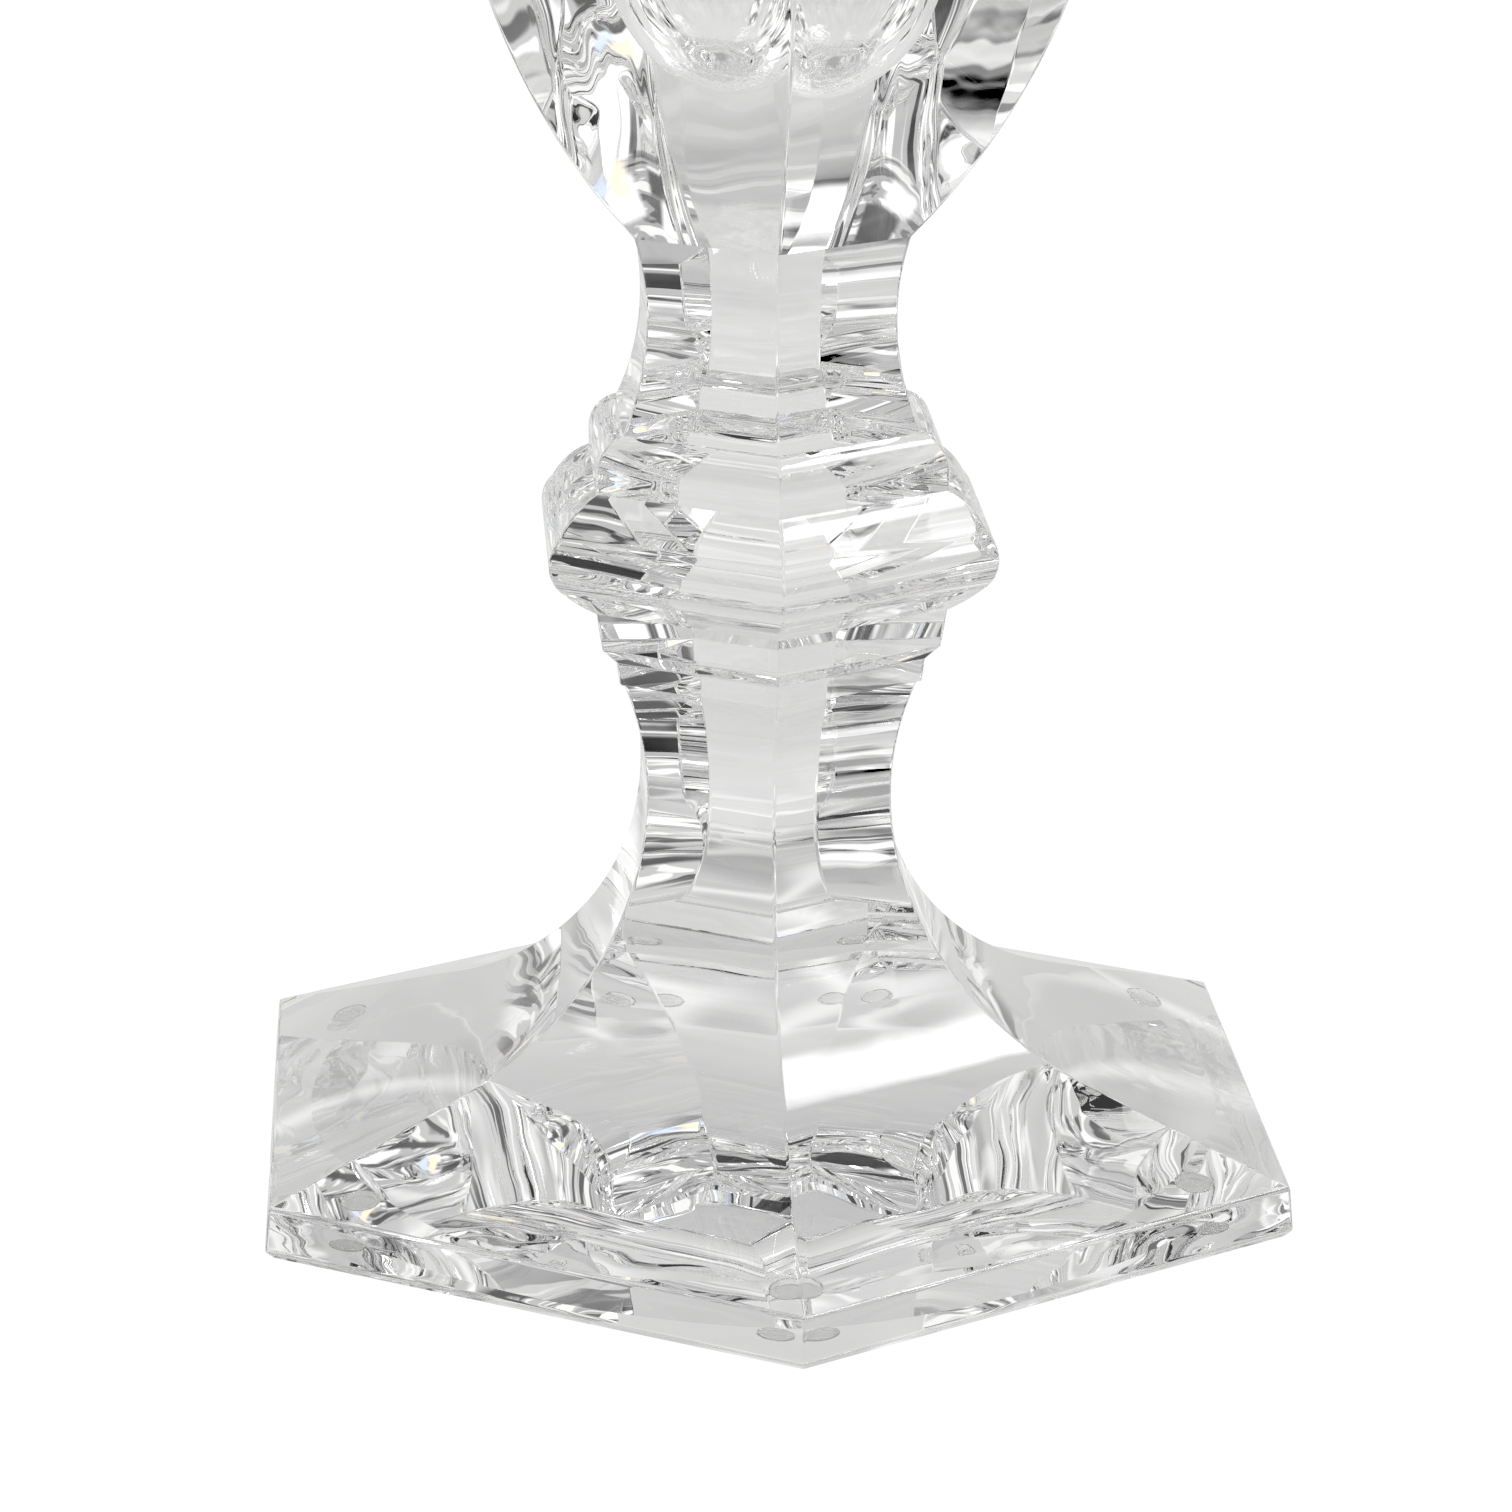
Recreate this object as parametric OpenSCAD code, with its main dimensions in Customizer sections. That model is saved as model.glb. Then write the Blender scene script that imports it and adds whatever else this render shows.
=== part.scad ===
// Hexagonal crystal candlestick.
// Six flat cut sides run from a spreading foot, up a waisted stem with one knop, to a tulip-shaped
// socket for a taper candle. Seven gathers of clear glass are joined hot, each face to face with the
// next, and six small clear pads under the corners keep the foot off the table.
// The axis is Z and the pads rest on z = 0. Two opposite corners lie on the Y axis.

/* [Foot] */
// Width of the foot across its corners
foot_w = 120; // [112:1:136]
// Height of the foot's upright edge
edge_h = 5.4; // [4:0.2:8]
// How far the upright edge leans in over its height
edge_draft = 0.4; // [0:0.1:1]
// Bevel ground round the foot's lower edge
edge_bevel = 0.8; // [0.4:0.1:1.5]
// Slope of the foot's outer faces, in degrees
foot_slope = 20; // [16:1:24]
// Radius of the hollow sweep from the foot up to the stem
sweep_r = 30; // [26:1:34]
// Width of the round hollow polished into the underside
hollow_d = 92; // [70:1:94]
// Depth of that hollow
hollow_h = 2; // [1:0.1:4]

/* [Rest pads] */
// Diameter of each clear pad under the foot
pad_d = 4; // [3:0.5:8]
// Thickness of each pad
pad_t = 0.6; // [0.4:0.1:1.5]
// Distance of the pads from the axis
pad_reach = 48; // [36:1:50]

/* [Stem] */
// Width of the stem across its corners at both waists
waist_w = 29; // [27:0.5:32]
// Height of the lower stem
lower_stem_h = 12.6; // [10:0.2:15]
// Radius of the lower stem's hollow sides
lower_r = 34; // [30:1:44]
// Height of the upper stem below its waist
upper_drop = 11.6; // [10:0.2:13]
// Height of the upper stem above its waist
upper_rise = 8.3; // [6:0.1:10]
// Radius of the upper stem's hollow sides
upper_r = 29; // [26:1:36]

/* [Knop] */
// Width of the knop across its corners
knop_w = 52.2; // [48:0.1:60]
// Radius of the knop's rounded nose
nose_r = 4.1; // [3:0.1:5]
// Slope of the bevel under the nose, in degrees
lower_bevel = 38; // [34:1:45]
// Slope of the bevel over the nose, in degrees
upper_bevel = 46; // [40:1:54]
// Width of both collars across their corners, where they meet the knop
collar_w = 41; // [39:0.5:44]
// Height of the lower collar
collar_h = 7.9; // [7:0.1:10]
// Height of the upper collar's upright band
band_h = 1.9; // [1:0.1:3]
// Radius of the upper collar's rounded shoulder
shoulder_r = 4; // [3.8:0.1:4.2]
// Height of that shoulder
shoulder_h = 3.7; // [3:0.1:3.75]

/* [Socket] */
// Overall height of the candlestick
overall_h = 150; // [140:1:160]
// Radius of the socket's outward curve from stem to lip
tulip_r = 78; // [74:1:90]
// Diameter of the bore that holds the candle
bore_d = 23; // [20:0.5:26]
// Depth of the bore, from the drip dish to its round bottom
bore_depth = 28; // [24:0.5:36]
// Depth of the drip dish round the bore
dish_depth = 3; // [1:0.5:3.5]
// Diameter of the drip dish at the lip
dish_d = 50; // [40:1:52]

/* [Hidden] */
$fn = 96;
SIDES = 6;
ARC_STEPS = 16;

// Half the distance across the flats, from a width across the corners
function flat(corner_w) = corner_w / 2 * cos(30);
// How far a circle's edge has moved sideways, at a given height from its widest level
function sagitta(r, h) = r - sqrt(r * r - h * h);
// Points along an arc, between two angles
function arc(x, z, r, from, to) =
    [for (i = [0 : ARC_STEPS])
        let (a = from + (to - from) * i / ARC_STEPS)
        [x + r * cos(a), z + r * sin(a)]];

// Foot
edge_top = pad_t + edge_h;
foot_flat = flat(foot_w);
edge_flat = foot_flat - edge_draft;
waist = flat(waist_w);
sweep_x = waist + sweep_r;
sweep_out = sweep_x - sweep_r * sin(foot_slope);
sweep_low = edge_top + (edge_flat - sweep_out) * tan(foot_slope);
foot_top = sweep_low + sweep_r * cos(foot_slope);
hollow_r = (hollow_d * hollow_d / 4 + hollow_h * hollow_h) / (2 * hollow_h);

// Lower stem and lower collar
lower_stem_top = foot_top + lower_stem_h;
neck = waist + sagitta(lower_r, lower_stem_h) + 0.4;
collar = flat(collar_w);
step_h = collar_h * 0.3;
bevel_h = collar_h * 0.2;
collar_top = lower_stem_top + collar_h;

// Knop: both bevels run into a round nose
nose_x = flat(knop_w) - nose_r;
nose_low = lower_bevel - 90;
nose_high = 90 - upper_bevel;
lower_run = nose_x + nose_r * cos(nose_low) - collar;
upper_run = nose_x + nose_r * cos(nose_high) - collar;
knop_mid = collar_top + lower_run * tan(lower_bevel) - nose_r * sin(nose_low);
knop_top = knop_mid + nose_r * sin(nose_high) + upper_run * tan(upper_bevel);

// Upper collar and upper stem
shoulder_base = knop_top + band_h;
upper_collar_top = shoulder_base + shoulder_h;
upper_waist = upper_collar_top + upper_drop;
upper_stem_top = upper_waist + upper_rise;

// Socket
socket_h = overall_h - upper_stem_top;
lip = waist + sagitta(upper_r, upper_rise) + sagitta(tulip_r, socket_h);
dish_z = overall_h - dish_depth;
bore_r = bore_d / 2;
bore_low = dish_z - bore_depth + bore_r;

// Solid with six alike sides. Its outline, in width and height, is swept straight through along three
// directions, and only what all three sweeps share is kept. The outline's right edge goes through the
// given points, lowest first, and its left edge mirrors it.
module six_sided(edge) {
    mirrored = [for (i = [len(edge) - 1 : -1 : 0]) [-edge[i][0], edge[i][1]]];
    intersection_for(turn = [0, 60, 120])
        rotate([90, 0, turn])
            linear_extrude(2 * foot_w, center = true)
                polygon(concat(edge, mirrored));
}

module foot() {
    ground_edge = [
        [foot_flat - edge_bevel, pad_t],
        [foot_flat, pad_t + edge_bevel],
        [edge_flat, edge_top]
    ];
    color("gainsboro", 0.6)
        difference() {
            six_sided(concat(ground_edge, arc(sweep_x, foot_top, sweep_r, 270 - foot_slope, 180)));
            translate([0, 0, pad_t + hollow_h - hollow_r]) sphere(hollow_r);
        }
}

module lower_stem() {
    spread = asin(lower_stem_h / lower_r);
    color("lightgray", 0.6)
        six_sided(arc(waist + lower_r, foot_top, lower_r, 180, 180 - spread));
}

// Two stepped bands with a bevel between them
module lower_collar() {
    color("whitesmoke", 0.6)
        six_sided([
            [neck, lower_stem_top],
            [neck + 0.3, lower_stem_top + step_h],
            [collar - 0.6, lower_stem_top + step_h + bevel_h],
            [collar, collar_top]
        ]);
}

module knop() {
    color("gainsboro", 0.6)
        six_sided(concat(
            [[collar, collar_top]],
            arc(nose_x, knop_mid, nose_r, nose_low, nose_high),
            [[collar, knop_top]]
        ));
}

// Upright band under a rounded shoulder
module upper_collar() {
    color("whitesmoke", 0.6)
        six_sided(concat(
            [[collar, knop_top]],
            arc(collar - shoulder_r, shoulder_base, shoulder_r, 0, asin(shoulder_h / shoulder_r))
        ));
}

module upper_stem() {
    low = asin(upper_drop / upper_r);
    high = asin(upper_rise / upper_r);
    color("lightgray", 0.6)
        six_sided(arc(waist + upper_r, upper_waist, upper_r, 180 + low, 180 - high));
}

// Tulip-shaped cup, bored for the candle, with a round bottom and a shallow drip dish
module socket_cup() {
    spread = asin(socket_h / tulip_r);
    color("gainsboro", 0.6)
        difference() {
            six_sided(arc(lip - tulip_r, overall_h, tulip_r, -spread, 0));
            translate([0, 0, bore_low]) cylinder(h = overall_h - bore_low, r = bore_r);
            translate([0, 0, bore_low]) sphere(bore_r);
            translate([0, 0, dish_z])
                cylinder(h = dish_depth, r1 = bore_r, r2 = dish_d / 2);
        }
}

// Six clear pads, one inside each corner of the foot
module rest_pads() {
    color("white", 0.5)
        for (k = [0 : SIDES - 1])
            rotate([0, 0, 30 + 60 * k])
                translate([pad_reach, 0, 0])
                    cylinder(h = pad_t, d = pad_d);
}

foot();
lower_stem();
lower_collar();
knop();
upper_collar();
upper_stem();
socket_cup();
rest_pads();
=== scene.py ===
"""Six-sided crystal candlestick, made as separate pieces of hot-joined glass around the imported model.

Every piece of glass is a stack of level rings. One of its six sides is drawn as a strip of faces, and
a node tree turns six copies of that side round the axis and welds them into a closed piece.
"""
import logging
import math
from dataclasses import dataclass
from enum import Enum
from typing import Any, Sequence, Union

import bmesh
import bpy
from mathutils import Matrix, Vector


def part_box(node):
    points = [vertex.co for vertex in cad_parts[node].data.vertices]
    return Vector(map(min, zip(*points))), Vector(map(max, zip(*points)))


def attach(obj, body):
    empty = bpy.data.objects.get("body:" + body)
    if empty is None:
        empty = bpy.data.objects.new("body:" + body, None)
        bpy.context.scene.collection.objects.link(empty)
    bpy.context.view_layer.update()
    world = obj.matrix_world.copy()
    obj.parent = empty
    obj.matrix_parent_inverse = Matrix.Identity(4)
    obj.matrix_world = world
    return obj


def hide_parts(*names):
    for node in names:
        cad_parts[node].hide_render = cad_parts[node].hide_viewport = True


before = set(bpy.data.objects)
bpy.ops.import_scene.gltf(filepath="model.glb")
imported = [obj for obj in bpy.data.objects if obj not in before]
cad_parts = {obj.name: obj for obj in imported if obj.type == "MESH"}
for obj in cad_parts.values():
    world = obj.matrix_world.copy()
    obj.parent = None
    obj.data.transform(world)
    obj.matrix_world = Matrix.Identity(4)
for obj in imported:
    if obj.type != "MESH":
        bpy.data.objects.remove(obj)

logging.basicConfig(level=logging.INFO, format="%(message)s")
log = logging.getLogger("candlestick")

MM = 0.001
ROOT = "root"
SIDES = 6
HALF_SIDE = math.radians(180 / SIDES)
WELD = 0.002 * MM
SAME_SIZE = 0.001 * MM
WHITE = (1.0, 1.0, 1.0)
Pair = tuple[float, float]
Triple = tuple[float, float, float]

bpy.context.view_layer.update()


# ---- shader maths


class Wire:
    """A shader socket that can be added, subtracted and multiplied like a number."""

    def __init__(self, recipe: "Recipe", socket: bpy.types.NodeSocket) -> None:
        """Keep the socket and the recipe that it belongs to."""
        self.recipe = recipe
        self.socket = socket

    def maths(self, operation: str, left: Any, right: Any) -> "Wire":
        """Add one Math node on two values or wires."""
        node = self.recipe.node("ShaderNodeMath", {"operation": operation}, {0: left, 1: right})
        return Wire(self.recipe, node.outputs[0])

    def __add__(self, other: Any) -> "Wire":
        """Return self + other."""
        return self.maths("ADD", self, other)

    def __mul__(self, other: Any) -> "Wire":
        """Return self * other."""
        return self.maths("MULTIPLY", self, other)

    def __sub__(self, other: Any) -> "Wire":
        """Return self - other."""
        return self.maths("SUBTRACT", self, other)

    def __rsub__(self, other: Any) -> "Wire":
        """Return other - self."""
        return self.maths("SUBTRACT", other, self)

    def __truediv__(self, other: Any) -> "Wire":
        """Return self / other."""
        return self.maths("DIVIDE", self, other)


class Nodes:
    """A node tree that is built one node at a time."""

    def __init__(self, tree: bpy.types.NodeTree) -> None:
        """Keep the tree."""
        self.tree = tree

    def node(self, kind: str, settings: dict[str, Any], inputs: dict[Any, Any]) -> bpy.types.Node:
        """Add a node.

        Args:
            kind: the node's type name.
            settings: properties to set before anything is linked.
            inputs: values, wires or sockets, by the socket's name or number.

        Returns:
            The new node.
        """
        node = self.tree.nodes.new(kind)
        for key, value in settings.items():
            setattr(node, key, value)
        for key, value in inputs.items():
            if isinstance(value, Wire):
                value = value.socket
            if isinstance(value, bpy.types.NodeSocket):
                self.tree.links.new(value, node.inputs[key])
            else:
                node.inputs[key].default_value = value
        return node


class Recipe(Nodes):
    """The node tree of one material or world."""

    def __init__(self, owner: Union[bpy.types.Material, bpy.types.World]) -> None:
        """Start an empty tree.

        Args:
            owner: the material or world whose tree this is.
        """
        owner.use_nodes = True
        super().__init__(owner.node_tree)
        self.tree.nodes.clear()

    def wire(self, kind: str, settings: dict[str, Any], inputs: dict[Any, Any],
             output: Union[int, str] = 0) -> Wire:
        """Add a node and return one of its outputs as a wire.

        Args:
            kind: the node's type name.
            settings: properties to set first.
            inputs: values, wires or sockets.
            output: the output's name or number.

        Returns:
            The wire.
        """
        return Wire(self, self.node(kind, settings, inputs).outputs[output])

    def place(self) -> Wire:
        """Return the piece's own coordinates, in metres."""
        return self.wire("ShaderNodeTexCoord", {}, {}, "Object")

    def noise(self, place: Wire, scale: float, detail: float = 2.0) -> Wire:
        """Return a noise value between about 0 and 1.

        Args:
            place: coordinates to read.
            scale: features per unit of those coordinates.
            detail: octaves.

        Returns:
            The noise.
        """
        return self.wire("ShaderNodeTexNoise", {"noise_dimensions": "3D"},
                         {"Vector": place, "Scale": scale, "Detail": detail, "Roughness": 0.5})

    def stretched(self, place: Wire, scale: Sequence[float]) -> Wire:
        """Return coordinates scaled by a different amount along each axis."""
        return self.wire("ShaderNodeMapping", {}, {"Vector": place, "Scale": tuple(scale)})

    def mix(self, amount: Wire, base: Union[Wire, Triple], tone: Triple) -> Wire:
        """Lay a plain colour over another.

        Args:
            amount: how much of it covers, 0 to 1.
            base: the colour underneath.
            tone: the colour on top.

        Returns:
            The mixed colour.
        """
        low = base if isinstance(base, Wire) else (*base, 1.0)
        return self.wire("ShaderNodeMix", {"data_type": "RGBA"}, {0: amount, 6: low, 7: (*tone, 1.0)}, 2)

    def dot(self, where: Wire, axis: Vector) -> Wire:
        """Return how far a vector reaches along an axis."""
        return self.wire("ShaderNodeVectorMath", {"operation": "DOT_PRODUCT"},
                         {0: where, 1: tuple(axis)}, "Value")

    def size(self, value: Wire) -> Wire:
        """Return a value without its sign."""
        return value.maths("ABSOLUTE", value, 0.0)

    def limit(self, value: Wire, floor: float) -> Wire:
        """Return a value, or the floor where that is larger."""
        return value.maths("MAXIMUM", value, floor)

    def fade(self, value: Wire, outer: float, inner: float) -> Wire:
        """Return a soft step, from 0 at the outer value to 1 at the inner one."""
        return self.wire("ShaderNodeMapRange", {"interpolation_type": "SMOOTHSTEP", "clamp": True},
                         {0: value, 1: outer, 2: inner, 3: 0.0, 4: 1.0})

    def close(self, shader: bpy.types.Node, kind: str = "ShaderNodeOutputMaterial") -> None:
        """Send a shader to the tree's output."""
        self.node(kind, {}, {"Surface": shader.outputs[0]})


# ---- finishes


@dataclass(frozen=True)
class Crystal:
    """Clear crystal, cut and polished by hand.

    Scales are features per metre. relief is the height of a pattern whose share is 1. The pebbled
    bottom of the bore lies well_bottom above the table.
    """

    name: str = "cut_crystal"
    ior: float = 1.545
    relief: float = 0.2 * MM
    ripple_scale: float = 70.0
    ripple_share: float = 0.85
    stria_shape: Triple = (1.0, 1.0, 0.3)
    stria_scale: float = 160.0
    stria_share: float = 0.06
    stria_tint: Triple = (0.975, 0.98, 0.978)
    clear_tint: Triple = (0.995, 0.995, 0.99)
    pebble_scale: float = 850.0
    pebble_share: float = 1.8
    well_bottom: float = 119.0 * MM
    well_height: Pair = (3.2 * MM, 1.6 * MM)
    well_edge: Pair = (8.4 * MM, 6.3 * MM)
    scratch_shape: Triple = (1.0, 1.0, 6.0)
    scratch_scale: float = 900.0
    haze: float = 0.012

    def material(self) -> bpy.types.Material:
        """Build the material: faint ripples, striae, a trace of haze and a pebbled bore bottom.

        Returns:
            The material.
        """
        material = bpy.data.materials.new(self.name)
        recipe = Recipe(material)
        place = recipe.place()
        ripple = recipe.noise(place, self.ripple_scale, 0.6)
        striae = recipe.noise(recipe.stretched(place, self.stria_shape), self.stria_scale, 1.0)
        scratches = recipe.noise(recipe.stretched(place, self.scratch_shape), self.scratch_scale, 3.0)
        pebbles = recipe.noise(place, self.pebble_scale, 3.0)
        split = recipe.node("ShaderNodeSeparateXYZ", {}, {0: place})
        off_axis = recipe.wire("ShaderNodeVectorMath", {"operation": "LENGTH"},
                               {0: recipe.stretched(place, (1.0, 1.0, 0.0))}, "Value")
        rise = recipe.size(Wire(recipe, split.outputs[2]) - self.well_bottom)
        well = recipe.fade(rise, *self.well_height) * recipe.fade(off_axis, *self.well_edge)
        height = ripple * self.ripple_share + striae * self.stria_share + pebbles * well * self.pebble_share
        bump = recipe.wire("ShaderNodeBump", {},
                           {"Strength": 1.0, "Distance": self.relief, "Height": height}, "Normal")
        colour = recipe.mix(striae, self.stria_tint, self.clear_tint)
        shader = recipe.node("ShaderNodeBsdfPrincipled", {}, {
            "Base Color": colour,
            "Roughness": scratches * self.haze,
            "Normal": bump,
            "IOR": self.ior,
            "Transmission Weight": 1.0,
        })
        recipe.close(shader)
        return material


@dataclass(frozen=True)
class HotJoint:
    """Where two gathers have flowed together: there is no surface left, so light goes straight on."""

    name: str = "hot_joint"

    def material(self) -> bpy.types.Material:
        """Build a material that nothing is seen of.

        Returns:
            The material.
        """
        material = bpy.data.materials.new(self.name)
        recipe = Recipe(material)
        recipe.close(recipe.node("ShaderNodeBsdfPrincipled", {}, {"Alpha": 0.0, "Roughness": 1.0}))
        material.blend_method = "BLEND"  # clear in the viewport too
        return material


@dataclass(frozen=True)
class ClearPad:
    """Soft clear polymer, slightly cloudy, stuck to the underside of the foot."""

    name: str = "clear_polymer"
    ior: float = 1.45
    transmission: float = 0.9
    cloud_scale: float = 1400.0
    cloud_tint: Triple = (0.86, 0.86, 0.85)
    clear_tint: Triple = (0.96, 0.96, 0.95)
    smoothest: float = 0.1
    roughness_range: float = 0.2
    peel_height: float = 0.05 * MM
    peel_strength: float = 0.3

    def material(self) -> bpy.types.Material:
        """Build the material: cloudy, with a soft orange-peel surface.

        Returns:
            The material.
        """
        material = bpy.data.materials.new(self.name)
        recipe = Recipe(material)
        cloud = recipe.noise(recipe.place(), self.cloud_scale, 3.0)
        bump = recipe.wire("ShaderNodeBump", {},
                           {"Strength": self.peel_strength, "Distance": self.peel_height, "Height": cloud},
                           "Normal")
        shader = recipe.node("ShaderNodeBsdfPrincipled", {}, {
            "Base Color": recipe.mix(cloud, self.cloud_tint, self.clear_tint),
            "Roughness": cloud * self.roughness_range + self.smoothest,
            "Normal": bump,
            "IOR": self.ior,
            "Transmission Weight": self.transmission,
        })
        recipe.close(shader)
        return material


@dataclass(frozen=True)
class Pool:
    """A patch of light that the glass throws on the floor."""

    x: float
    y: float
    radius: float
    tone: float


@dataclass(frozen=True)
class Sweep:
    """Seamless studio paper: white where it is seen directly, light grey as the glass sees it.

    Distances are in metres. Each pair is a soft step, from the value where it begins to the value where
    it is full, and pool_edge gives both as shares of a pool's radius. The glass throws three patterns on
    the paper: spokes that run outwards, a web of bright lines close to the foot and mottled shade under
    it. The spokes leave a wedge behind the foot plain.
    """

    name: str = "studio_floor"
    seen: float = 1.02
    lit: float = 0.56
    mottle: float = 0.12
    mottle_scale: float = 9.0
    behind: Pair = (-0.08, 0.05)
    behind_lift: float = 0.2
    far: Pair = (0.25, 0.6)
    far_drop: float = 0.06
    spoke_scale: float = 7.0
    spoke_bend: float = 1.2
    spoke_start: Pair = (0.075, 0.09)
    spoke_end: Pair = (0.6, 0.4)
    plain_slope: float = 0.9
    plain_edge: Pair = (0.05, 0.0)
    bright_spoke: Pair = (0.53, 0.6)
    bright_spoke_lift: float = 0.6
    dark_spoke: Pair = (0.46, 0.38)
    dark_spoke_drop: float = 0.5
    web_scale: float = 22.0
    web_line: Pair = (0.05, 0.0)
    web_reach: Pair = (0.14, 0.08)
    web_lift: float = 0.3
    shade_scale: float = 30.0
    shade_reach: Pair = (0.06, 0.04)
    shade_drop: float = 0.24
    pool_edge: Pair = (1.25, 0.75)
    fibre_scale: float = 400.0
    fibre_tint: Triple = (0.99, 0.99, 0.985)
    paper_tint: Triple = (1.0, 1.0, 0.995)
    pools: tuple[Pool, ...] = ()

    def spokes(self, recipe: Recipe, place: Wire, radius: Wire) -> Wire:
        """Return the light that the spokes add, which is less than 0 on a dark one.

        Args:
            recipe: the paper's node tree.
            place: the place on the paper.
            radius: its distance from the axis.

        Returns:
            The light.
        """
        split = recipe.node("ShaderNodeSeparateXYZ", {}, {0: place})
        across, back = (Wire(recipe, split.outputs[i]) for i in (0, 1))
        beside = recipe.fade(back - recipe.size(across) * self.plain_slope, *self.plain_edge)
        beside = beside * recipe.fade(radius, *self.spoke_start) * recipe.fade(radius, *self.spoke_end)
        outwards = recipe.wire("ShaderNodeVectorMath", {"operation": "NORMALIZE"}, {0: place})
        bend = recipe.stretched(place, (self.spoke_bend, self.spoke_bend, 0.0))
        outwards = recipe.wire("ShaderNodeVectorMath", {"operation": "ADD"}, {0: outwards, 1: bend})
        waves = recipe.noise(outwards, self.spoke_scale, 1.0)
        bright = recipe.fade(waves, *self.bright_spoke) * beside * self.bright_spoke_lift
        return bright - recipe.fade(waves, *self.dark_spoke) * beside * self.dark_spoke_drop

    def light(self, recipe: Recipe) -> Wire:
        """Return how bright the paper is as the glass sees it.

        Args:
            recipe: the paper's node tree.

        Returns:
            The brightness.
        """
        place = recipe.place()
        back = recipe.dot(place, Vector((0.0, 1.0, 0.0)))
        radius = recipe.wire("ShaderNodeVectorMath", {"operation": "LENGTH"}, {0: place}, "Value")
        web = recipe.fade(recipe.size(recipe.noise(place, self.web_scale, 1.0) - 0.5), *self.web_line)
        shade = recipe.noise(place, self.shade_scale)
        light = (recipe.noise(place, self.mottle_scale) - 0.5) * self.mottle + self.lit
        light = light + recipe.fade(back, *self.behind) * self.behind_lift
        light = light - recipe.fade(back, *self.far) * self.far_drop
        light = light + web * recipe.fade(radius, *self.web_reach) * self.web_lift
        light = light - shade * recipe.fade(radius, *self.shade_reach) * self.shade_drop
        light = light + self.spokes(recipe, place, radius)
        for pool in self.pools:
            gap = recipe.wire("ShaderNodeVectorMath", {"operation": "DISTANCE"},
                              {0: place, 1: (pool.x, pool.y, 0.0)}, "Value")
            outer, inner = (pool.radius * share for share in self.pool_edge)
            light = light + recipe.fade(gap, outer, inner) * (pool.tone - self.lit)
        return light

    def material(self) -> bpy.types.Material:
        """Build the paper, with a faint fibre in its tone and the light that the glass throws on it.

        Returns:
            The material.
        """
        material = bpy.data.materials.new(self.name)
        recipe = Recipe(material)
        light = self.light(recipe)
        direct = recipe.wire("ShaderNodeLightPath", {}, {}, "Is Camera Ray")
        strength = direct * (self.seen - light) + light
        fibre = recipe.noise(recipe.place(), self.fibre_scale)
        tone = recipe.mix(fibre, self.fibre_tint, self.paper_tint)
        recipe.close(recipe.node("ShaderNodeEmission", {}, {"Color": tone, "Strength": strength}))
        return material


@dataclass(frozen=True)
class Panel:
    """A soft-edged rectangle of the room's wall, placed by its direction from the object.

    turn is counted in degrees from straight behind the object towards the right, and lift from the
    horizon upwards. half_width, half_height and edge are degrees too. least_reach and same_half keep
    the panel off the opposite wall.
    """

    turn: float
    lift: float
    half_width: float
    half_height: float
    tone: Triple
    edge: float = 2.5
    least_reach: float = 0.001
    same_half: Pair = (0.0, 0.05)

    def mask(self, recipe: Recipe, where: Wire) -> Wire:
        """Return 1 inside the panel, 0 outside it and a soft step between.

        Args:
            recipe: the room's node tree.
            where: the direction looked in.

        Returns:
            The mask.
        """
        turn, lift = math.radians(self.turn), math.radians(self.lift)
        ahead = Vector((math.sin(turn) * math.cos(lift), math.cos(turn) * math.cos(lift), math.sin(lift)))
        right = Vector((math.cos(turn), -math.sin(turn), 0.0))
        reach = recipe.dot(where, ahead)
        depth = recipe.limit(reach, self.least_reach)
        across = recipe.size(recipe.dot(where, right) / depth)
        along = recipe.size(recipe.dot(where, right.cross(ahead)) / depth)
        masks = [recipe.fade(value, math.tan(math.radians(half + self.edge)),
                             math.tan(math.radians(half - self.edge)))
                 for value, half in ((across, self.half_width), (along, self.half_height))]
        return masks[0] * masks[1] * recipe.fade(reach, *self.same_half)


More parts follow.
